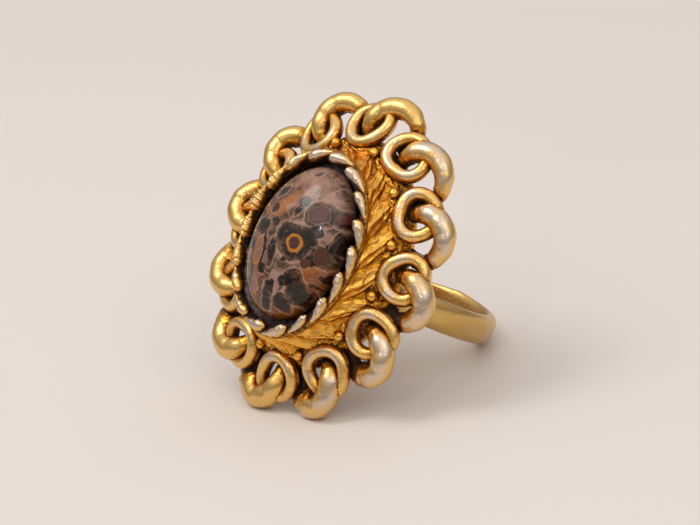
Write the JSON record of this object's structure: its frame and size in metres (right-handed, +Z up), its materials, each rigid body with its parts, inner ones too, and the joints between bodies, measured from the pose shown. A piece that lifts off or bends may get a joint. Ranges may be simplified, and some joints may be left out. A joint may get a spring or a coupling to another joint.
{
  "type": "cocktail ring",
  "caption": "Oval cabochon cocktail ring with a rope-edged cup, a border of interlocked links and beads, and an open band.",
  "frame": {"origin": "middle of the footprint on the table, at the height of the table", "axes": "+Z up from the table; +X across the head, -Y the way the leaning head faces"},
  "size_m": [0.0266, 0.0258, 0.0252],
  "materials": {
    "jasper": "polished leopardskin jasper",
    "cement": "cured grey cement",
    "antique_gilt": "antiqued gold plate with dark recesses",
    "worn_gilt": "gold plate worn pale on the high points",
    "satin_gilt": "satin gold plate"
  },
  "bodies": {
    "root": {"stone": "jasper", "stone_cement": "cement", "setting_cup": "antique_gilt", "leaf_collar": "antique_gilt", "rope_rim": "worn_gilt", "head_plate": "antique_gilt", "band": "satin_gilt", "inner_link_01": "worn_gilt", "inner_link_02": "worn_gilt", "inner_link_03": "worn_gilt", "inner_link_04": "worn_gilt", "inner_link_05": "worn_gilt", "inner_link_06": "worn_gilt", "inner_link_07": "worn_gilt", "inner_link_08": "worn_gilt", "inner_link_09": "worn_gilt", "inner_link_10": "worn_gilt", "inner_link_11": "worn_gilt", "inner_link_12": "worn_gilt", "outer_link_01": "worn_gilt", "outer_link_02": "worn_gilt", "outer_link_03": "worn_gilt", "outer_link_04": "worn_gilt", "outer_link_05": "worn_gilt", "outer_link_06": "worn_gilt", "outer_link_07": "worn_gilt", "outer_link_08": "worn_gilt", "outer_link_09": "worn_gilt", "outer_link_10": "worn_gilt", "outer_link_11": "worn_gilt", "outer_link_12": "worn_gilt", "bead_01": "antique_gilt", "bead_02": "antique_gilt", "bead_03": "antique_gilt", "bead_04": "antique_gilt", "bead_05": "antique_gilt", "bead_06": "antique_gilt", "bead_07": "antique_gilt", "bead_08": "antique_gilt", "bead_09": "antique_gilt", "bead_10": "antique_gilt", "bead_11": "antique_gilt", "bead_12": "antique_gilt"}
  },
  "joints": []
}
